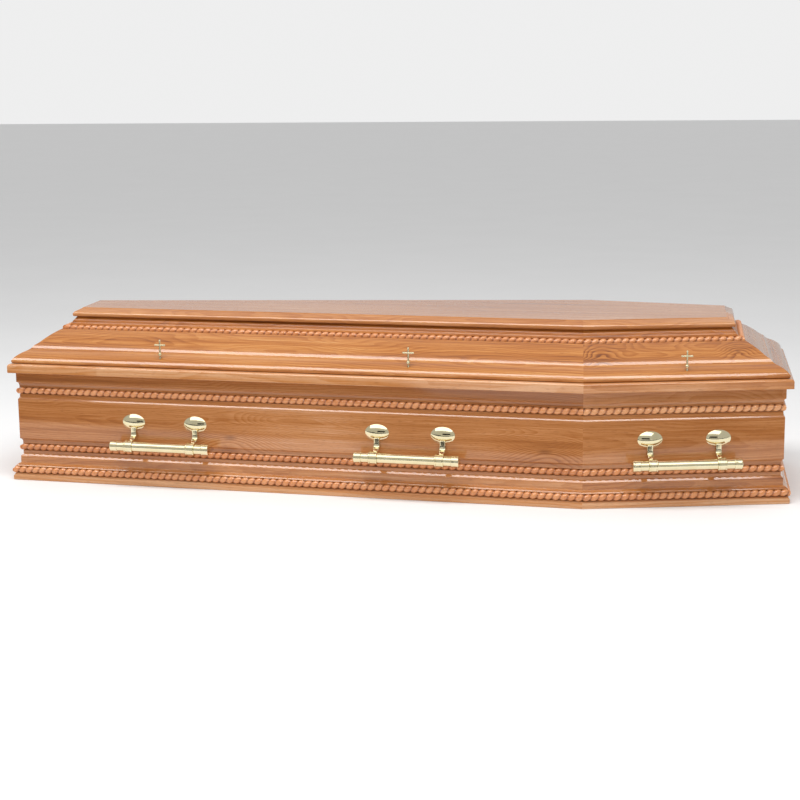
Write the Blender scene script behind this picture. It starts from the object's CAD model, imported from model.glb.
"""A wooden coffin, lacquered, with rope mouldings, six bar handles and six crossed lid screws.

Metres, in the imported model's frame: the head end at +X, the front side at -Y, +Z up. Every board
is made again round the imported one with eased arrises, grain that runs along it and its own figure.
"""

import math

import bmesh
import bpy
import numpy as np
from mathutils import Matrix, Vector


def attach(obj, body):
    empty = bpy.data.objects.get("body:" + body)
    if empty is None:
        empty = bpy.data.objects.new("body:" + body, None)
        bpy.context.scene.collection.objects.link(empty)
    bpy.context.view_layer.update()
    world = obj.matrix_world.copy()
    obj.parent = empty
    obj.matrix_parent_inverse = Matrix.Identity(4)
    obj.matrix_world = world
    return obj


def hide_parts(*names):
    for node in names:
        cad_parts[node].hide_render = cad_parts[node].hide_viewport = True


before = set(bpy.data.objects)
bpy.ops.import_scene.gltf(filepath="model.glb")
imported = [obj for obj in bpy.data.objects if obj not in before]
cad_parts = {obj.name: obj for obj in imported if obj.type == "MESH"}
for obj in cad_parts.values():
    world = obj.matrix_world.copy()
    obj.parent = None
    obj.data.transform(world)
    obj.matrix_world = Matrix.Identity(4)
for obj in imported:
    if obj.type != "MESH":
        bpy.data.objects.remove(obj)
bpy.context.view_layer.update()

# ---- sizes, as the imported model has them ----

# the plan, over the panels
BODY_LEN, HEAD_PART_LEN = 2.012, 0.494
FOOT_W, SHOULDER_W, HEAD_W = 0.410, 0.677, 0.452
WALL_T, BOTTOM_T = 0.026, 0.018
# the wall's outline: depths are set back from the panel face, heights count upwards
PANEL_H, PANEL_BEVEL_H, PANEL_HOLLOW_H = 0.1067, 0.005, 0.010
LOWER_BED_D, UPPER_BED_D, BED_BELOW, BED_ABOVE = 0.006, 0.0045, 0.0098, 0.005
FRIEZE_HOLLOW_H, FRIEZE_H, FRIEZE_D = 0.0125, 0.0262, 0.0015
# the skirting
PLINTH_D, PLINTH_H, PLINTH_SLOPE_H = 0.017, 0.011, 0.007
BASE_BED_D, LEDGE_H, BAND_H, SKIRTING_SEAT_D = 0.0122, 0.008, 0.0174, 0.012
# the ropes
ROPE_R, ROPE_PROUD, ROPE_SINK, ROPE_GAP = 0.009, 0.0072, 0.004, 0.0003
LID_ROPE_R, LID_ROPE_PROUD, GLUE_LINE = 0.0087, 0.0055, 0.0001
BEAD_PITCH, BEAD_DEPTH, BEAD_SLANT = 0.0191, 0.0040, 0.125
# the lid
RIM_T, RIM_D, RIM_ROUND = 0.0245, 0.019, 0.007
NOSE_R, NOSE_D = 0.0063, 0.0098
LOWER_RUN, LOWER_RISE, UPPER_RUN, UPPER_RISE = 0.048, 0.042, 0.061, 0.0385
SLOPE_T, CROWN_W, CROWN_RISE = 0.020, 0.043, 0.0312
CROWN_LIP_OFF, CROWN_EDGE_UP, CROWN_EDGE_OFF = -0.0005, 0.0126, 0.0042
CROWN_BED_IN, CROWN_BED_H = 0.0095, 0.002
TOP_T, TOP_OVERHANG, TOP_EDGE_W = 0.022, 0.009, 0.023
# handles and lid screws: how far along from the foot or shoulder corner, then their own sizes
HANDLES = {"foot": 0.418, "middle": 0.441, "head": 0.254}
SCREWS = {"foot": 0.410, "middle": 0.445, "head": 0.259}
ROSE_UP, ROSE_SPACING, ROSE_W, ROSE_H, ROSE_T = 0.0575, 0.172, 0.063, 0.0435, 0.0095
BAR_DROP, BAR_OFF, BAR_R, BAR_LEN = 0.0575, 0.038, 0.013, 0.274
CAP_LEN, CAP_LIP = 0.020, 0.0017
RING_LEN, RING_WALL, RING_GAP, BORE_LEN, ARM_W, NECK_W = 0.023, 0.0032, 0.0003, 0.04, 0.016, 0.0125
SCREW_IN, ARMS_UP, CROSS_UP, BALL_UP, CROSS_W = 0.0085, 0.035, 0.0495, 0.010, 0.031
ROD_R, KNOB_R, BALL_R = 0.0024, 0.0029, 0.0052
SHANK_R, SHANK_GAP, SHANK_IN, DRILL_LEN = 0.0025, 0.0003, 0.020, 0.12
# small rounds where faces meet, and the angle over which an edge stays sharp
EASE, ARRIS_R, SHARP = 0.001, 0.0011, 34

BASE_ROPE_Z = PLINTH_H + PLINTH_SLOPE_H + ROPE_GAP + ROPE_R
LEDGE_Z = BASE_ROPE_Z + ROPE_R + ROPE_GAP
BAND_Z = LEDGE_Z + LEDGE_H
BEVEL_Z = BAND_Z + BAND_H
SKIRTING_H = BEVEL_Z + LOWER_BED_D
LOWER_ROPE_Z = SKIRTING_H + BED_BELOW + ROPE_R
HOLLOW_Z = LOWER_ROPE_Z + ROPE_R + BED_ABOVE
PANEL_Z = HOLLOW_Z + PANEL_HOLLOW_H
PANEL_TOP = PANEL_Z + PANEL_H
UPPER_BED_Z = PANEL_TOP + PANEL_BEVEL_H
UPPER_ROPE_Z = UPPER_BED_Z + BED_BELOW + ROPE_R
FRIEZE_HOLLOW_Z = UPPER_ROPE_Z + ROPE_R + BED_ABOVE / 2
FRIEZE_Z = FRIEZE_HOLLOW_Z + FRIEZE_HOLLOW_H
BOX_H = FRIEZE_Z + FRIEZE_H
SEAT_Z = BOX_H + RIM_T
STEP_D, STEP_Z = NOSE_D - LOWER_RUN, SEAT_Z + LOWER_RISE
SLOPE_TOP = np.array([STEP_D - UPPER_RUN, STEP_Z + UPPER_RISE])
PITCH = math.atan2(SLOPE_TOP[1] - SEAT_Z - NOSE_R * 2.9, NOSE_D - NOSE_R * 1.4 - SLOPE_TOP[0])
UP_SLOPE = np.array([-math.cos(PITCH), math.sin(PITCH)])
OFF_SLOPE = np.array([math.sin(PITCH), math.cos(PITCH)])
TOP_Z = SLOPE_TOP[1] + CROWN_RISE

# ---- the plan: six sides, anticlockwise from the front foot corner ----

SHOULDER_X = BODY_LEN / 2 - HEAD_PART_LEN
CORNERS = [
    (-BODY_LEN / 2, -FOOT_W / 2), (SHOULDER_X, -SHOULDER_W / 2), (BODY_LEN / 2, -HEAD_W / 2),
    (BODY_LEN / 2, HEAD_W / 2), (SHOULDER_X, SHOULDER_W / 2), (-BODY_LEN / 2, FOOT_W / 2),
]
SIDES = ["front_long", "front_short", "head", "back_short", "back_long", "foot"]


def corner(side):
    return np.array(CORNERS[side % 6])


def run(side):
    return corner(side + 1) - corner(side)


def length(side):
    return float(np.linalg.norm(run(side)))


def turn(side):
    return math.atan2(run(side)[1], run(side)[0])


def half_turn(side):
    return ((turn(side) - turn(side - 1) + 3 * math.pi) % (2 * math.pi) - math.pi) / 2


def ends(side, out, gap=0.0):
    """Where a line `out` from a side's panel face starts and ends, mitre to mitre."""
    first, last = half_turn(side), half_turn(side + 1)
    low = gap / 2 / math.cos(first) - out * math.tan(first)
    return low, length(side) - gap / 2 / math.cos(last) + out * math.tan(last)


def place(side, along, out, up):
    """Points from a side's own measures: along it, out from its panel face, and up."""
    along, out, up = np.broadcast_arrays(*(np.asarray(v, float) for v in (along, out, up)))
    c, s = math.cos(turn(side)), math.sin(turn(side))
    x, y = corner(side)
    return np.stack([x + along * c + out * s, y + along * s - out * c, up], -1)


# ---- outlines, as points (out, up) ----


def bend(a, b, c, steps=9):
    """A curve from a to c that leaves and arrives along the lines to b, without a."""
    a, b, c = (np.array(p, float) for p in (a, b, c))
    shares = np.arange(1, steps + 1) / steps
    return [(1 - t) ** 2 * a + 2 * t * (1 - t) * b + t * t * c for t in shares]


def arc(centre, r, start, stop, steps=9):
    """An arc in degrees, without its first point."""
    angles = np.radians(start + (stop - start) * np.arange(1, steps + 1) / steps)
    return [np.array(centre) + r * np.array([math.cos(a), math.sin(a)]) for a in angles]


def eased(points, radius=ARRIS_R, least=24, steps=4):
    """A closed outline with its outward corners rounded, and its quirks left sharp."""
    points = [np.array(p, float) for p in points]
    n, made = len(points), []
    area = sum(points[k - 1][0] * points[k][1] - points[k][0] * points[k - 1][1] for k in range(n))
    for k, p in enumerate(points):
        before, after = p - points[k - 1], points[(k + 1) % n] - p
        bent = math.degrees(math.atan2(before[0] * after[1] - before[1] * after[0], before @ after))
        if bent * math.copysign(1, area) < least:
            made.append(p)
            continue
        back = min(radius, 0.45 * np.linalg.norm(before), 0.45 * np.linalg.norm(after))
        a, c = p - before / np.linalg.norm(before) * back, p + after / np.linalg.norm(after) * back
        made += [a] + bend(a, p, c, steps)
    return made


def groove(d, up, half):
    return [(d, up - half), (d - ROPE_SINK, up - half), (d - ROPE_SINK, up + half), (d, up + half)]


def hollow(bed_d, low, face_d, high):
    top = (face_d - EASE, high - EASE)
    return [(bed_d, low)] + bend((bed_d, low), (bed_d, high - 3 * EASE), top) + [(face_d, high)]


def on_lower(u, v):
    return NOSE_D - u * LOWER_RUN, SEAT_Z + v * LOWER_RISE


def on_upper(u, v):
    return STEP_D - u * UPPER_RUN, STEP_Z + v * UPPER_RISE


def on_crown(up, off):
    return SLOPE_TOP + up * UP_SLOPE + off * OFF_SLOPE


def shifted(point, out, up):
    return point[0] + out, point[1] + up


HALF_GROOVE = ROPE_R + ROPE_GAP
LEDGE_TOP = (EASE, BAND_Z - EASE)
SKIRTING = (
    [(-SKIRTING_SEAT_D, 0), (PLINTH_D, 0), (PLINTH_D, PLINTH_H - EASE)]
    + [(PLINTH_D - EASE / 2, PLINTH_H), (BASE_BED_D, PLINTH_H + PLINTH_SLOPE_H)]
    + groove(BASE_BED_D, BASE_ROPE_Z, HALF_GROOVE)
    + bend((BASE_BED_D, LEDGE_Z), (BASE_BED_D * 0.62, BAND_Z - LEDGE_H * 0.25), LEDGE_TOP)
    + bend(LEDGE_TOP, (0, BAND_Z - EASE / 2), (0, BAND_Z + EASE), 4)
    + [(0, BEVEL_Z), (-LOWER_BED_D, SKIRTING_H), (-SKIRTING_SEAT_D, SKIRTING_H)]
)
WALL = (
    [(-WALL_T, 0), (-SKIRTING_SEAT_D, 0)]
    + [(-SKIRTING_SEAT_D, SKIRTING_H), (-LOWER_BED_D, SKIRTING_H)]
    + groove(-LOWER_BED_D, LOWER_ROPE_Z, HALF_GROOVE)
    + hollow(-LOWER_BED_D, HOLLOW_Z, 0, PANEL_Z)
    + [(0, PANEL_TOP), (-EASE * 2.8, PANEL_TOP + EASE * 4), (-UPPER_BED_D, UPPER_BED_Z)]
    + groove(-UPPER_BED_D, UPPER_ROPE_Z, HALF_GROOVE)
    + hollow(-UPPER_BED_D, FRIEZE_HOLLOW_Z, FRIEZE_D, FRIEZE_Z)
    + [(FRIEZE_D, BOX_H), (-WALL_T, BOX_H)]
)
ROUND_AT = (RIM_D - RIM_ROUND, SEAT_Z - RIM_ROUND - EASE / 2)
RIM = (
    [(-WALL_T, BOX_H), (RIM_D - EASE, BOX_H), (RIM_D, BOX_H + EASE), (RIM_D, ROUND_AT[1])]
    + arc(ROUND_AT, RIM_ROUND, 0, 90)
    + [(ROUND_AT[0] - EASE, SEAT_Z), (-WALL_T, SEAT_Z)]
)
SLOPE = (
    [(NOSE_D - SLOPE_T, SEAT_Z), (NOSE_D - NOSE_R, SEAT_Z)]
    + arc((NOSE_D - NOSE_R, SEAT_Z + NOSE_R), NOSE_R, -90, 30)
    + [on_lower(0.03, 0.24)]
    + bend(on_lower(0.03, 0.24), on_lower(0.22, 0.52), on_lower(0.62, 0.7))
    + bend(on_lower(0.62, 0.7), on_lower(0.80, 0.77), on_lower(0.90, 0.875))
    + [on_lower(0.985, 0.985)]
    + [on_upper(0.01, 0.025)]
    + bend(on_upper(0.01, 0.025), on_upper(0.16, 0.13), on_upper(0.32, 0.34))
    + bend(on_upper(0.32, 0.34), on_upper(0.6, 0.7), SLOPE_TOP)
    + [SLOPE_TOP - SLOPE_T * OFF_SLOPE]
)
LID_ROPE_AT = on_crown(LID_ROPE_R + ROPE_GAP, LID_ROPE_PROUD - LID_ROPE_R)
LID_GROOVE_W = 2 * (LID_ROPE_R + ROPE_GAP)
LIP = on_crown(LID_GROOVE_W, CROWN_LIP_OFF)
EDGE = on_crown(LID_GROOVE_W + CROWN_EDGE_UP, CROWN_EDGE_OFF)
CROWN_BED_D = EDGE[0] - CROWN_BED_IN
CROWN_FOOT = on_crown(CROWN_W, -SLOPE_T)
BULGE_FOOT, BULGE_TOP = shifted(EDGE, 0.0004, -0.0024), shifted(EDGE, -0.0018, 0.0008)
CROWN = (
    [on_crown(0, -SLOPE_T), on_crown(0, -ROPE_SINK), on_crown(LID_GROOVE_W, -ROPE_SINK), LIP]
    + bend(LIP, on_crown(LID_GROOVE_W + 0.008, 0.0002), BULGE_FOOT)
    + bend(BULGE_FOOT, EDGE, BULGE_TOP, 5)
    + bend(BULGE_TOP, shifted(EDGE, -0.0052, 0.0046), (CROWN_BED_D, TOP_Z - CROWN_BED_H))
    + [(CROWN_BED_D, TOP_Z), (CROWN_FOOT[0], TOP_Z), CROWN_FOOT]
)
TOP_NOSE_D = CROWN_BED_D + TOP_OVERHANG


def on_edge(back, up):
    return TOP_NOSE_D - back, TOP_Z + up * TOP_T


TOP_EDGE = (
    [on_edge(0.003, 0)]
    + bend(on_edge(0.003, 0), on_edge(0, 0), on_edge(0, 0.23), 7)
    + bend(on_edge(0, 0.23), on_edge(0, 0.36), on_edge(0.0008, 0.40), 5)
    + [on_edge(0.0036, 0.55)]
    + bend(on_edge(0.0036, 0.55), on_edge(0.0115, 0.72), on_edge(TOP_EDGE_W - 0.0016, 0.925))
    + [on_edge(TOP_EDGE_W, 1)]
)


# ---- shader maths ----


class Value:
    """A shader socket that adds Math nodes when it is reckoned with."""

    def __init__(self, finish, socket):
        self.finish, self.socket = finish, socket

    def does(self, operation, *terms):
        return self.finish.add("ShaderNodeMath", {"operation": operation}, dict(enumerate(terms)))

    def __add__(self, other):
        return self.does("ADD", self, other)

    def __sub__(self, other):
        return self.does("SUBTRACT", self, other)

    def __rsub__(self, other):
        return self.does("SUBTRACT", other, self)

    def __mul__(self, other):
        return self.does("MULTIPLY", self, other)

    def __pow__(self, other):
        return self.does("POWER", self, other)

    __radd__, __rmul__ = __add__, __mul__


class Finish:
    """A material, and the one way to add a node to it."""

    def __init__(self, name):
        self.material = bpy.data.materials.new(name)
        self.material.use_nodes = True
        self.tree = self.material.node_tree
        self.shader = self.tree.nodes["Principled BSDF"]

    def add(self, kind, settings, sockets, out=0):
        node = self.tree.nodes.new(kind)
        for key, setting in settings.items():
            if key == "stops":
                ramp = node.color_ramp
                while len(ramp.elements) < len(setting):
                    ramp.elements.new(0.5)
                for element, (where, colour) in zip(ramp.elements, setting):
                    element.position, element.color = where, (*colour, 1)
            else:
                setattr(node, key, setting)
        for key, value in sockets.items():
            self.give(node, key, value)
        return Value(self, node.outputs[out])

    def give(self, node, key, value):
        if isinstance(value, Value):
            self.tree.links.new(value.socket, node.inputs[key])
        else:
            node.inputs[key].default_value = value

    def set(self, **values):
        for key, value in values.items():
            self.give(self.shader, key.replace("_", " "), value)

    def held(self):
        """A point of the piece, in the frame's own metres."""
        return self.add("ShaderNodeTexCoord", {}, {}, 3)

    def in_side(self, side):
        """The same point in a side's own measures: along it, in from its panel face, and up."""
        start, heading = (*CORNERS[side], 0), (0, 0, turn(side))
        sockets = {"Vector": self.held(), "Location": start, "Rotation": heading}
        return self.add("ShaderNodeMapping", {"vector_type": "TEXTURE"}, sockets)

    def parts(self, where):
        parted = self.add("ShaderNodeSeparateXYZ", {}, {0: where}).socket.node
        return [Value(self, socket) for socket in parted.outputs]

    def stretched(self, where, scale, seed=0.0):
        """Scales a point, and moves it to a part of the noise that is the seed's own."""
        moved = (seed * 1.7 + 3.1, seed * 2.3 - 1.9, seed * 0.9 + 5.3)
        sockets = {0: where, 1: scale, 2: moved}
        return self.add("ShaderNodeVectorMath", {"operation": "MULTIPLY_ADD"}, sockets)

    def noise(self, where, detail=2.0, rough=0.5):
        sockets = {"Vector": where, "Scale": 1.0, "Detail": detail, "Roughness": rough}
        return self.add("ShaderNodeTexNoise", {"noise_dimensions": "3D"}, sockets)

    def mix(self, factor, a, b, blend="MIX"):
        settings = {"data_type": "RGBA", "blend_type": blend, "clamp_factor": True}
        return self.add("ShaderNodeMix", settings, {0: factor, 6: a, 7: b}, 2)

    def smooth(self, value, low, high, start=0.0, stop=1.0):
        settings = {"interpolation_type": "SMOOTHSTEP", "clamp": True}
        sockets = {0: value, 1: low, 2: high, 3: start, 4: stop}
        return self.add("ShaderNodeMapRange", settings, sockets)

    def bump(self, height, distance, strength):
        sockets = {"Height": height, "Distance": distance, "Strength": strength}
        return self.add("ShaderNodeBump", {}, sockets)


def colour(*shade):
    return (*shade, 1.0)


# ---- lacquered wood ----

DARK, WARM = (0.185, 0.050, 0.011), (0.395, 0.132, 0.025)
FAIR, PALE = (0.535, 0.220, 0.064), (0.67, 0.365, 0.180)
KNOT_BROWN, KNOT_STRETCH = (0.12, 0.036, 0.010), 0.38


def lacquered(name, side, seed, heart=(0.03, 0.16), lean=0.03, ring=0.006, tone=0.0, drift=(),
              rise=(), knots=(), figure=1.0, tint=(1, 1, 1), lacquer=1.0):
    """Stained and lacquered wood with its grain along a side of the plan.

    heart is where the tree's middle lay behind the board's face, lean how it drew away along it,
    ring the width of a year's growth, drift and rise lists of (from, to, change) in tone along the
    board and up it, knots a list of (along, up, size), figure how strongly it all shows, tint the
    stain laid over it, and lacquer how much of it there is: 0 leaves the wood bare.
    """
    f = Finish(name)
    here = f.in_side(side)
    along, inward, up = f.parts(here)
    # year rings, pulled about by slow swells and by knots
    swell = f.noise(f.stretched(here, (1.7, 7, 7), seed), 2.0, 0.55) - 0.5
    ripple = f.noise(f.stretched(here, (7, 34, 34), seed + 5), 2.0, 0.5) - 0.5
    u = inward - heart[0] - along * lean
    w = up - heart[1] + swell * 0.085
    reach = (u * u + w * w) ** 0.5 + swell * 0.05 + ripple * 0.009
    eye = swirl = 0.0
    for at, height, size in knots:
        off = (((along - at) * KNOT_STRETCH) ** 2.0 + (up - height) ** 2.0) ** 0.5
        near = f.smooth(off, 0.0, size * 2.6, 1.0, 0.0)
        reach = reach + near * size * 1.5
        swirl = near + swirl
        eye = f.smooth(off, size * 0.06, size * 0.34, 1.0, 0.0) + eye
    years = reach * (1 / ring)
    wave = years.does("FRACT", years)
    late = f.smooth(wave, 0.25, 0.93) - f.smooth(wave, 0.93, 1.0)
    # streaks, fibres and pores
    streak = f.noise(f.stretched(here, (1.1, 66, 66), seed + 11), 3.0, 0.7) - 0.5
    fibre = f.noise(f.stretched(here, (7, 420, 420), seed + 17), 2.0, 0.6) - 0.5
    cloud = f.noise(f.stretched(here, (2.3, 5, 5), seed + 23), 2.0, 0.5) - 0.5
    pore = f.smooth(f.noise(f.stretched(here, (55, 900, 900), seed + 29), 1.0, 0.5), 0.60, 0.70)
    shown = streak + fibre * 0.6 + cloud * 0.55 - late * (0.16 + swirl * 0.26)
    shade = 0.56 + tone + shown * figure
    for measure, changes in ((along, drift), (up, rise)):
        for start, stop, change in changes:
            shade = shade + f.smooth(measure, start, stop, 0.0, change)
    stops = [(0.0, DARK), (0.34, WARM), (0.66, FAIR), (1.0, PALE)]
    wood = f.add("ShaderNodeValToRGB", {"stops": stops}, {0: shade})
    wood = f.mix(1.0, wood, colour(*tint), "MULTIPLY")
    wood = f.mix(pore * 0.35, wood, colour(*DARK))
    if knots:
        wood = f.mix(eye * 0.45, wood, colour(*KNOT_BROWN))
    rub = f.noise(f.stretched(here, (60, 60, 60), seed + 31), 3.0, 0.6)
    # the lacquer is the coat; the wood under it hardly shines
    f.set(Base_Color=wood, Roughness=0.40 + pore * 0.2 - late * 0.06 + (rub - 0.5) * 0.12)
    coat = (0.86 + rub * 0.2) * lacquer if lacquer else 0.0
    f.set(Coat_Weight=coat, Coat_Roughness=0.07, Coat_IOR=1.62, Specular_IOR_Level=0.12)
    waver = f.noise(f.stretched(here, (9, 30, 30), seed + 37), 2.0, 0.5)
    f.set(Normal=f.bump(pore * -0.25 + fibre * 0.3 + waver * 0.9, 0.0004, 0.35))
    return f.material


# ---- pieces ----


def mesh_piece(name, points, faces, materials, slots=None, sharp=SHARP):
    mesh = bpy.data.meshes.new(name)
    faces = [tuple(int(k) for k in face) for face in faces]
    mesh.from_pydata([tuple(p) for p in points], [], faces)
    for material in materials:
        mesh.materials.append(material)
    if slots is not None:
        mesh.polygons.foreach_set("material_index", np.asarray(slots, np.int32))
    mesh.validate()
    smooth(mesh, sharp)
    obj = bpy.data.objects.new(name, mesh)
    bpy.context.scene.collection.objects.link(obj)
    return obj


def smooth(mesh, sharp):
    mesh.polygons.foreach_set("use_smooth", np.ones(len(mesh.polygons), bool))
    mesh.set_sharp_from_angle(angle=math.radians(sharp))


def even(obj):
    """Keeps flat faces looking flat beside their rounded edges."""
    even_shading = obj.modifiers.new("even_shading", "WEIGHTED_NORMAL")
    even_shading.keep_sharp = True
    even_shading.weight = 80


def belongs(obj, node):
    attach(obj, "root")
    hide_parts(node)


def loop_faces(count, rings):
    """Side faces of a lofted tube, and a cap on each end."""
    faces = []
    for start in range(0, (rings - 1) * count, count):
        for k in range(count):
            low, high = start + k, start + (k + 1) % count
            faces.append((low, high, high + count, low + count))
    last = (rings - 1) * count
    return faces + [range(count)[::-1], range(last, last + count)]


def outward(obj):
    """Turns a closed mesh's faces to look outwards."""
    made = bmesh.new()
    made.from_mesh(obj.data)
    bmesh.ops.recalc_face_normals(made, faces=made.faces)
    made.to_mesh(obj.data)
    made.free()
    return obj


def lofted(name, rings, materials=()):
    """A closed solid through rings of points, one after another."""
    points, count = np.concatenate(rings), len(rings[0])
    return outward(mesh_piece(name, points, loop_faces(count, len(rings)), materials))


def cut(obj, tools, operation="DIFFERENCE"):
    """Cuts tools out of obj, or joins them to it, for good."""
    for tool in tools:
        step = obj.modifiers.new("step", "BOOLEAN")
        step.operation, step.solver, step.object = operation, "EXACT", tool
    made = bpy.data.meshes.new_from_object(obj.evaluated_get(bpy.context.evaluated_depsgraph_get()))
    obj.modifiers.clear()
    obj.data = made
    for tool in tools:
        bpy.data.objects.remove(tool)


def board(name, side, outline, material, drilled=()):
    """A mitred board: an outline run along one side of the plan, with its holes drilled."""
    outline = np.array(eased(outline))
    low, high = zip(*(ends(side, d) for d, _ in outline))
    rings = [place(side, spots, outline[:, 0], outline[:, 1]) for spots in (low, high)]
    obj = lofted(name, rings, [material])
    if drilled:
        cut(obj, [drill(hole) for hole in drilled])
        smooth(obj.data, SHARP)
    even(obj)
    return obj


def drill(hole):
    """A tool for a lid screw's hole, upright with its middle at a point."""
    def lay(a, r, h):
        return hole + np.stack([r * np.cos(a), r * np.sin(a), h], -1)

    return turned("drill", both_ways([(SHANK_R + SHANK_GAP, DRILL_LEN / 2)]), 24, lay)


def turned(name, profile, steps, lay, materials=()):
    """A turned solid from (radius, height) points, laid in place by lay(angle, radius, height)."""
    angles = np.linspace(0, 2 * math.pi, steps, endpoint=False)
    rings = [lay(angles, np.full(steps, r), np.full(steps, h)) for r, h in profile]
    return lofted(name, rings, materials)


def both_ways(half):
    """A turned outline from its outer half, mirrored about height 0."""
    return [(r, -h) for r, h in half[::-1]] + half


def places(distances, side):
    """(name, distance along) of what stands on a side, from its distance to foot or shoulder."""
    far = {name: length(side) - distance for name, distance in distances.items()}
    return {
        "front_long": [("foot", distances["foot"]), ("middle", far["middle"])],
        "front_short": [("head", distances["head"])],
        "back_short": [("head", far["head"])],
        "back_long": [("foot", far["foot"]), ("middle", distances["middle"])],
    }.get(SIDES[side], [])


# ---- boards ----

# how each kind of board, and each board, differs in its wood; tones go round the sides in order
TONES = {
    "board": (-0.06, 0.0, -0.02, 0.02, -0.03, 0.0),
    "skirting": (0.26, 0.42, 0.26, 0.28, 0.28, 0.26),
    "rim": (0.18, 0.10, 0.08, 0.06, 0.12, 0.08),
    "slope": (0.10, -0.05, 0.0, 0.04, 0.02, 0.03),
    "crown": (-0.25, -0.14, -0.12, -0.12, -0.14, -0.12),
}
TOP_EDGE_TONES = (-0.04, 0.04, 0.0, 0.03, 0.0, 0.02)
HEARTS = {"board": (0.035, 0.165), "skirting": (0.06, 0.05), "rim": (0.05, 0.30),
          "slope": (0.10, 0.33), "crown": (0.14, 0.39)}
LEANS = {"board": 0.035, "skirting": 0.02, "rim": 0.018, "slope": 0.03, "crown": 0.015}
KNOTS = {
    "board_front_long": [(0.600, 0.138, 0.028), (1.430, 0.137, 0.027)],
    "slope_front_short": [(0.045, 0.372, 0.013), (0.40, 0.375, 0.010)],
    "board_back_long": [(0.90, 0.16, 0.018)],
}
DRIFTS = {
    "board_front_long": [(0.15, 0.70, 0.13), (1.1, 1.5, -0.02)],
    "rim_front_long": [(0.236, 0.244, 0.12)],
}
RISES = {
    "board_front_long": [(FRIEZE_HOLLOW_Z - 0.004, FRIEZE_HOLLOW_Z, -0.13)],
    "board_front_short": [(FRIEZE_HOLLOW_Z - 0.004, FRIEZE_HOLLOW_Z, 0.10)],
    "skirting_front_long": [(PLINTH_H + 0.002, PLINTH_H + 0.006, -0.20)],
    "skirting_front_short": [(PLINTH_H + 0.002, PLINTH_H + 0.006, -0.50)],
}
RINGS = {"slope_front_short": 0.0038, "board_front_long": 0.0046}
FIGURES = {"board": 0.85, "slope": 1.25}
TINTS = {"slope": (0.98, 0.93, 0.70), "crown": (0.98, 0.93, 0.74), "board": (1.0, 1.03, 1.22),
         "rim": (1.0, 0.98, 1.0)}
LACQUERS = {"crown": 0.4}
OUTLINES = {"board": WALL, "skirting": SKIRTING, "rim": RIM, "slope": SLOPE, "crown": CROWN}
# the boards that the screws go through, and the height of the drill's middle
DRILLED = {"rim": SEAT_Z, "slope": SEAT_Z + 0.03}

# the height of the slope's face over the screw line
screw_face = next(
    a[1] + (b[1] - a[1]) * (a[0] + SCREW_IN) / (a[0] - b[0])
    for a, b in zip(SLOPE, SLOPE[1:])
    if a[1] > SEAT_Z + NOSE_R and a[0] >= -SCREW_IN and b[0] < -SCREW_IN
)

seed = 1.0
for kind, outline in OUTLINES.items():
    for side, side_name in enumerate(SIDES):
        node = f"{kind}_{side_name}"
        seed += 1.37
        wood = lacquered(
            f"wood_{node}", side, seed, HEARTS[kind], LEANS[kind] * (1 if side % 2 else -1),
            RINGS.get(node, 0.006), TONES[kind][side], DRIFTS.get(node, ()), RISES.get(node, ()),
            KNOTS.get(node, ()), FIGURES.get(kind, 1.0), TINTS.get(kind, (1, 1, 1)),
            LACQUERS.get(kind, 1.0))
        holes = []
        if kind in DRILLED:
            holes = [place(side, at, -SCREW_IN, DRILLED[kind]) for _, at in places(SCREWS, side)]
        belongs(board(f"made_{node}", side, outline, wood, holes), node)

# the top board: a flat field with a moulded edge on each side
field = [place(side, ends(side, d)[0], d, z) for d, z in TOP_EDGE for side in range(6)]
edge_woods = [
    lacquered(f"wood_top_edge_{name}", side, 60 + side * 2.1, (0.13, 0.42), 0.01,
              tone=TOP_EDGE_TONES[side])
    for side, name in enumerate(SIDES)
]
field_wood = lacquered("wood_top_field", 0, 77.3, (0.30, 0.43), 0.05, ring=0.008)
rings = len(TOP_EDGE)
slots = [side for _ in range(rings - 1) for side in range(6)] + [6, 6]
top = mesh_piece("made_top_board", field, loop_faces(6, rings), edge_woods + [field_wood], slots)
even(outward(top))
belongs(top, "top_board")

# the bottom board, plain, let in between the walls with its edges chamfered
outer_ring = np.array([place(side, ends(side, -WALL_T)[0], -WALL_T, 0) for side in range(6)])
centre, chamfer = outer_ring.mean(0), 0.0015
layers = []
for inset, height in ((chamfer, 0), (0, chamfer), (0, BOTTOM_T - chamfer), (chamfer, BOTTOM_T)):
    layer = centre + (outer_ring - centre) * (1 - inset)
    layer[:, 2] = height
    layers.append(layer)
plain = lacquered("wood_bottom_board", 0, 91.0, (0.4, 0.1), 0.03, lacquer=0.0, tone=0.25)
bottom = lofted("made_bottom_board", layers, [plain])
even(bottom)
belongs(bottom, "bottom_board")

# ---- rope mouldings ----

ROPE_TONES = {("rope_lid", "front_long"): -0.15, ("rope_lower", "front_long"): -0.20,
              ("rope_upper", "front_short"): 0.28}


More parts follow.
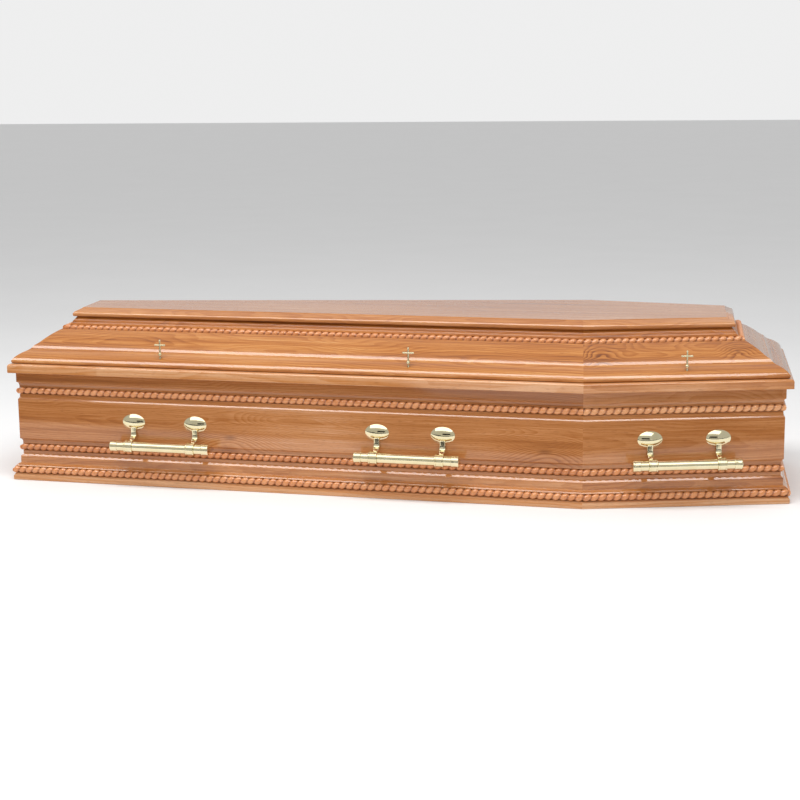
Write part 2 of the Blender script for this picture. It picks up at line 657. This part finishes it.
def rope_strip(side, at, radius, proud, tilt):
    """One strip: beads leaning like a rope's twist, flat at the back and mitred at both ends."""
    back = radius - proud - ROPE_SINK
    half = math.acos(back / radius)
    around = np.linspace(-half, half, 17)
    steps = int(length(side) / BEAD_PITCH * 10)
    share = np.linspace(0, 1, steps + 1)[:, None]
    r = np.full((steps + 1, len(around)), radius)
    for _ in range(3):
        out = at[0] + r * np.cos(around + tilt)
        low, high = ends(side, out, GLUE_LINE)
        along = low + (high - low) * share
        phase = along / BEAD_PITCH - around * BEAD_SLANT
        dip = 1 - np.abs(np.sin(math.pi * phase)) ** 0.9
        fade = np.clip((half - np.abs(around)) / 0.35, 0, 1) ** 0.5
        r = radius - BEAD_DEPTH * dip * fade
    up = at[1] + r * np.sin(around + tilt)
    points = place(side, along, at[0] + r * np.cos(around + tilt), up)
    return points.reshape(-1, 3), loop_faces(len(around), steps + 1), dip.reshape(-1)


def rope(node, at, radius, proud, tilt, seed):
    """A ring of six strips in one mesh; seed settles how their woods differ."""
    points, faces, dips, woods, slots = [], [], [], [], []
    for side in range(6):
        tone = ROPE_TONES.get((node, SIDES[side]), 0.0)
        woods.append(rope_wood(f"wood_{node}_{SIDES[side]}", side, seed + side * 1.9, tone))
        strip_points, strip_faces, dip = rope_strip(side, at, radius, proud, tilt)
        base = sum(len(strip) for strip in points)
        faces += [tuple(k + base for k in face) for face in strip_faces]
        slots += [side] * len(strip_faces)
        points.append(strip_points)
        dips.append(dip)
    obj = mesh_piece(f"made_{node}", np.concatenate(points), faces, woods, slots, sharp=70)
    stain = obj.data.attributes.new("stain", "FLOAT", "POINT")
    stain.data.foreach_set("value", np.concatenate(dips).astype(np.float32))
    belongs(outward(obj), node)


def rope_wood(name, side, seed, tone):
    """Redder wood, with stain gathered in the twist's hollows."""
    f = Finish(name)
    here = f.in_side(side)
    streak = f.noise(f.stretched(here, (9, 190, 190), seed), 3.0, 0.6) - 0.5
    patch = f.noise(f.stretched(here, (30, 30, 30), seed + 7), 2.0, 0.5) - 0.5
    dip = f.add("ShaderNodeAttribute", {"attribute_name": "stain"}, {}, 2)
    shade = 0.55 + tone + streak * 0.8 + patch * 0.6
    stops = [(0.0, (0.46, 0.150, 0.045)), (0.5, (0.66, 0.262, 0.095)), (1.0, (0.80, 0.40, 0.18))]
    wood = f.add("ShaderNodeValToRGB", {"stops": stops}, {0: shade})
    wood = f.mix(f.smooth(dip, 0.30, 0.98, 0.0, 0.80), wood, colour(0.22, 0.055, 0.013))
    rub = f.noise(f.stretched(here, (80, 80, 80), seed + 13), 2.0, 0.6)
    f.set(Base_Color=wood, Roughness=0.36 + rub * 0.16, Coat_Weight=0.75 + rub * 0.3)
    f.set(Coat_Roughness=0.10, Coat_IOR=1.6, Specular_IOR_Level=0.12)
    f.set(Normal=f.bump(streak * 0.5 + rub * 0.3, 0.0003, 0.3))
    return f.material


for node, bed_d, rope_z, rope_seed in (
    ("rope_base", BASE_BED_D, BASE_ROPE_Z, 101),
    ("rope_lower", -LOWER_BED_D, LOWER_ROPE_Z, 121),
    ("rope_upper", -UPPER_BED_D, UPPER_ROPE_Z, 141),
):
    rope(node, (bed_d + ROPE_PROUD - ROPE_R, rope_z), ROPE_R, ROPE_PROUD, 0, rope_seed)
rope("rope_lid", LID_ROPE_AT, LID_ROPE_R, LID_ROPE_PROUD, math.pi / 2 - PITCH, 161)

# ---- gilt metal ----

gilt_pieces = []


def gilt(name, seed, rough):
    """Polished gilt with a slight haze and a fine grain."""
    f = Finish(name)
    held = f.held()
    haze = f.noise(f.stretched(held, (40, 40, 40), seed), 3.0, 0.6)
    speck = f.noise(f.stretched(held, (900, 900, 900), seed + 3), 2.0, 0.6)
    gold = f.mix(f.smooth(haze, 0.3, 0.75), colour(0.81, 0.72, 0.45), colour(0.87, 0.79, 0.54))
    f.set(Base_Color=gold, Metallic=1.0, Roughness=rough + haze * 0.05)
    f.set(Normal=f.bump(speck, 0.0001, 0.012))
    return f.material


def strap(name, path, sizes, lay, materials):
    """A rounded strap: path is its middle line in (out, up), sizes its (width, thickness) there."""
    path, steps, squareness = np.array(path), 28, 0.45
    heading = np.gradient(path, axis=0)
    heading /= np.linalg.norm(heading, axis=1)[:, None]
    angles = np.linspace(0, 2 * math.pi, steps, endpoint=False)
    across, through = (
        np.sign(v) * np.abs(v) ** squareness / 2 for v in (np.cos(angles), np.sin(angles)))
    rings = []
    for p, h, (width, thick) in zip(path, heading, sizes):
        out, up = p[0] - h[1] * through * thick, p[1] + h[0] * through * thick
        rings.append(lay(across * width, out, up))
    return lofted(name, rings, materials)


def rose(name, lay, materials):
    """A smooth oval boss: a spindle laid along the board and sunk into it."""
    rounds, steps, tip = 41, 25, 0.012
    sunk = (ROSE_H ** 2 / 4 - ROSE_T ** 2) / (2 * ROSE_T)
    spindle = ROSE_T + sunk
    half_w = ROSE_W / 2 / math.sqrt(1 - (sunk / spindle) ** 2)
    first = math.asin(sunk / spindle)
    rings = []
    for k in np.linspace(first + tip, math.pi - first - tip, rounds):
        r = spindle * math.sin(k)
        swing = math.acos(sunk / r)
        a = np.linspace(-swing, swing, steps)
        rings.append(lay(half_w * math.cos(k) + 0 * a, r * np.cos(a) - sunk, r * np.sin(a)))
    return lofted(name, rings, materials)


def finish_metal(obj, gold, node, sharp=38):
    """The last steps of a gilt piece: its finish, its shading and whose place it takes."""
    obj.data.materials.clear()
    obj.data.materials.append(gold)
    smooth(obj.data, sharp)
    even(obj)
    gilt_pieces.append(obj)
    belongs(obj, node)


def handle(side, name, at, gold):
    """Two cast brackets and the bar they hold; `at` is how far along the side its middle stands."""
    where = f"{'front' if side < 2 else 'back'}_{name}"
    foot_first = 1 if side < 2 else -1
    up = PANEL_Z + ROSE_UP
    ring_r = BAR_R + RING_GAP
    ring_at = np.array([BAR_OFF, -BAR_DROP])
    elbow = np.array([0.0125, -0.0405])
    towards = (ring_at - elbow) / np.linalg.norm(ring_at - elbow)
    neck_end = ring_at - (ring_r + RING_WALL / 2) * towards
    knee = np.array([0.0042, -0.0310])
    fall = [knee + np.array([0, 0.020]) * t for t in (1.0, 0.75, 0.5, 0.25, 0.12, 0.0)]
    curve = bend(knee, knee + np.array([0, -0.0062]), elbow, 9)
    neck = [elbow + (neck_end - elbow) * t for t in (0.1, 0.2, 0.3, 0.45, 0.6, 0.75, 0.9, 1.0)]
    path = fall + curve + neck
    # the arm widens at its knuckle, then narrows to a neck and flares into the collar
    sizes = [(ARM_W - 0.002, 0.005)] * 5 + [(ARM_W - 0.001, 0.0056)] + [(ARM_W, 0.0062)] * 9
    sizes += [(0.0155, 0.0062), (0.0145, 0.006), (NECK_W, 0.006), (0.0112, 0.006), (0.0108, 0.006)]
    sizes += [(0.0112, 0.0064), (0.0122, 0.007), (0.0130, 0.008)]
    for number, sign in ((1, -1), (2, 1)):
        spot = at + sign * foot_first * ROSE_SPACING / 2

        def lay(a, o, u, spot=spot):
            return place(side, spot + a, o, up + u)

        def lay_ring(a, r, h, spot=spot):
            return place(side, spot + h, BAR_OFF + r * np.cos(a), up - BAR_DROP + r * np.sin(a))

        # the collar: a turned sleeve with a bead at each end
        wide, half, core = ring_r + RING_WALL, RING_LEN / 2, 0.004
        bead = [(wide - 0.0009, half - 0.0052), (wide - 0.0009, half - 0.0044)]
        bead += [(wide - 0.0001, half - 0.0038), (wide, half - 0.0028), (wide, half - 0.0012)]
        bead += [(wide - 0.0004, half - 0.0004), (wide - 0.0010, half), (core, half)]
        obj = rose(f"made_bracket_{where}_{number}", lay, [gold])
        arm = strap("arm", path, sizes, lay, [])
        cut(obj, [arm, turned("collar", both_ways(bead), 64, lay_ring)], "UNION")
        cut(obj, [turned("bore", both_ways([(ring_r, BORE_LEN / 2)]), 64, lay_ring)])
        finish_metal(obj, gold, f"bracket_{where}_{number}")

    def lay_bar(a, r, h):
        return place(side, at + h, BAR_OFF + r * np.cos(a), up - BAR_DROP + r * np.sin(a))

    # the cap: a sleeve over the tube's end, with a lip at its mouth and a rounded rim
    end, mouth, cap = BAR_LEN / 2, BAR_LEN / 2 - CAP_LEN, BAR_R + CAP_LIP
    tip = [(BAR_R, mouth - 0.0002), (cap - 0.0008, mouth), (cap - 0.0002, mouth + 0.0006)]
    tip += [(cap, mouth + 0.0014), (cap, mouth + 0.0040), (cap - 0.0005, mouth + 0.0046)]
    tip += [(cap - 0.0005, end - 0.0050), (cap, end - 0.0044), (cap, end - 0.0026)]
    tip += [(cap - 0.0003, end - 0.0014), (cap - 0.0012, end - 0.0004), (cap - 0.0026, end)]
    tip += [(0.0002, end)]
    bar = turned(f"made_bar_{where}", both_ways(tip), 96, lay_bar, [gold])
    finish_metal(bar, gold, f"bar_{where}", 42)


def lid_screw(side, name, at, gold):
    """A cross on a ball, with a shank that goes through the lid into the wall."""
    where = f"{'front' if side < 2 else 'back'}_{name}"
    foot = BOX_H - SHANK_IN

    def lay(a, r, h):
        return place(side, at + r * np.cos(a), -SCREW_IN + r * np.sin(a), h)

    def lay_arms(a, r, h):
        return place(side, at + h, -SCREW_IN + r * np.cos(a), screw_face + ARMS_UP + r * np.sin(a))

    def ball(centre, radius, low, high, steps=10):
        angles = np.linspace(low, high, steps)
        return [(radius * math.cos(t), centre + radius * math.sin(t)) for t in angles]

    nearly_up, knob_meets_rod = 1.5, -math.acos(ROD_R / KNOB_R)
    ball_at, top_at = screw_face + BALL_UP, screw_face + CROSS_UP - KNOB_R
    post = [(SHANK_R / 3, foot), (SHANK_R, foot + SHANK_R), (SHANK_R, screw_face + 0.0015)]
    post += ball(ball_at, BALL_R, -math.acos(SHANK_R * 0.85 / BALL_R), math.acos(ROD_R / BALL_R))
    post += [(ROD_R * 1.25, ball_at + BALL_R + 0.0006), (ROD_R, ball_at + BALL_R + 0.0018)]
    post += ball(top_at, KNOB_R, knob_meets_rod, nearly_up)
    obj = turned(f"made_screw_{where}", post, 40, lay, [gold])
    arms = both_ways(ball(CROSS_W / 2 - KNOB_R, KNOB_R, knob_meets_rod, nearly_up))
    hub = ball(0, KNOB_R * 1.05, -nearly_up, nearly_up, 12)
    cut(obj, [turned("arms", arms, 32, lay_arms), turned("hub", hub, 32, lay_arms)], "UNION")
    finish_metal(obj, gold, f"screw_{where}")


for side in range(6):
    for number, (name, at) in enumerate(places(HANDLES, side)):
        handle(side, name, at, gilt(f"gilt_handle_{side}_{name}", 3.0 * side + number, 0.06))
    for number, (name, at) in enumerate(places(SCREWS, side)):
        lid_screw(side, name, at, gilt(f"gilt_screw_{side}_{name}", 50 + 3.0 * side + number, 0.20))

# ---- camera, floor and light ----

EYE_AT, EYE_TURN, LENS = (0.73633, -4.48442, 1.08094), (-0.16288, 0.19221, -0.01071), 76.909


def camera():
    """Stands at EYE_AT and looks along EYE_TURN: yaw to the right of +Y, pitch down and roll."""
    yaw, pitch, roll = EYE_TURN
    flat = math.cos(pitch)
    ahead = np.array([math.sin(yaw) * flat, math.cos(yaw) * flat, -math.sin(pitch)])
    level = np.array([math.cos(yaw), -math.sin(yaw), 0])
    upright = np.cross(level, ahead)
    right = level * math.cos(roll) + upright * math.sin(roll)
    top_way = -level * math.sin(roll) + upright * math.cos(roll)
    eye = bpy.data.cameras.new("camera")
    eye.lens, eye.sensor_width = LENS, 36.0
    obj = bpy.data.objects.new("camera", eye)
    stand = np.column_stack([right, top_way, -ahead, EYE_AT])
    obj.matrix_world = Matrix([*stand.tolist(), [0, 0, 0, 1]])
    bpy.context.scene.collection.objects.link(obj)
    bpy.context.scene.camera = obj


def softbox(name, where, aim, size, power, for_gilt):
    """A soft lamp for everything but the gilt, or for the gilt alone."""
    lamp = bpy.data.lights.new(name, "AREA")
    lamp.shape, lamp.size, lamp.size_y, lamp.energy = "RECTANGLE", *size, power
    obj = bpy.data.objects.new(name, lamp)
    obj.location = where
    obj.rotation_euler = (Vector(aim) - Vector(where)).to_track_quat("-Z", "Y").to_euler()
    bpy.context.scene.collection.objects.link(obj)
    lit = bpy.data.collections.new(f"{name}_lights")
    for piece in gilt_pieces:
        lit.objects.link(piece)
    if not for_gilt:
        for entry in lit.collection_objects:
            entry.light_linking.link_state = "EXCLUDE"
    obj.light_linking.receiver_collection = lit


def paint(name, grain, dark, light, detail=2.0, rough=0.9):
    """A matt, slightly uneven paint."""
    f = Finish(name)
    weave = f.noise(f.stretched(f.held(), (grain, grain, grain)), detail)
    f.set(Base_Color=f.mix(weave, colour(*dark), colour(*light)), Roughness=rough)
    return f.material


def sheet(name, corners_at, material, seen=True):
    """A flat sheet of the studio; one that isn't seen still shows in reflections."""
    obj = mesh_piece(name, corners_at, [range(len(corners_at))], [material])
    if not seen:
        obj.visible_camera = obj.visible_diffuse = obj.visible_shadow = False


def oblong(low, high, up):
    """A level oblong's corners, from its low and high corners (x, y)."""
    (left, front), (right, back) = low, high
    return [(left, front, up), (right, front, up), (right, back, up), (left, back, up)]


def standing(left, right, back, low, high):
    """An upright oblong's corners, facing along y."""
    return [(left, back, low), (right, back, low), (right, back, high), (left, back, high)]


def studio():
    pale = paint("studio_floor", 3, (0.86, 0.86, 0.86), (0.89, 0.89, 0.89), 3.0, 0.8)
    sheet("studio_floor", oblong((-30, -30), (30, 30), -0.0005), pale)
    # a grey wall behind and dark cards in front, which only the gilt and the lacquer see
    black = paint("studio_flag", 200, (0.012, 0.011, 0.010), (0.022, 0.02, 0.018))
    grey = paint("studio_wall", 20, (0.60, 0.60, 0.60), (0.66, 0.66, 0.66))
    lying = 0.002
    near = [(-9, -2.75), (-1.3, -2.75), (-0.3, -1.65), (9, -1.6), (9, -0.87), (-9, -0.87)]
    sheet("studio_flag_tall", standing(-1.1, 2.3, -4.9, 0, 1.3), black, seen=False)
    sheet("studio_flag_near", [(x, y, lying) for x, y in near], black, seen=False)
    sheet("studio_flag_far", oblong((-9, -3.4), (9, -2.75), lying), black, seen=False)
    sheet("studio_wall", standing(-7, 9, 3.2, 0.02, 1.7), grey, seen=False)
    # the sky brightens from the front to the back
    sky = bpy.data.worlds.new("studio")
    sky.use_nodes = True
    nodes, links = sky.node_tree.nodes, sky.node_tree.links
    way, bright = nodes.new("ShaderNodeTexCoord"), nodes.new("ShaderNodeMapRange")
    parts = nodes.new("ShaderNodeSeparateXYZ")
    links.new(way.outputs["Generated"], parts.inputs[0])
    links.new(parts.outputs["Y"], bright.inputs["Value"])
    for key, value in (("From Min", 0.1), ("From Max", 0.85), ("To Min", 0.53), ("To Max", 0.86)):
        bright.inputs[key].default_value = value
    nodes["Background"].inputs["Color"].default_value = (1, 1, 1, 1)
    links.new(bright.outputs["Result"], nodes["Background"].inputs["Strength"])
    bpy.context.scene.world = sky
    softbox("key", (-0.1, -2.3, 3.9), (0, 0, 0.25), (5.6, 0.75), 98, False)
    softbox("overhead", (-0.5, -0.85, 3.2), (-0.5, -0.85, 0.0), (5.0, 0.55), 56, False)
    softbox("gilt_key", (-0.3, -1.9, 2.9), (0, -0.3, 0.15), (6.0, 2.2), 60, True)
    bpy.context.scene.view_settings.view_transform = "Standard"


camera()
studio()
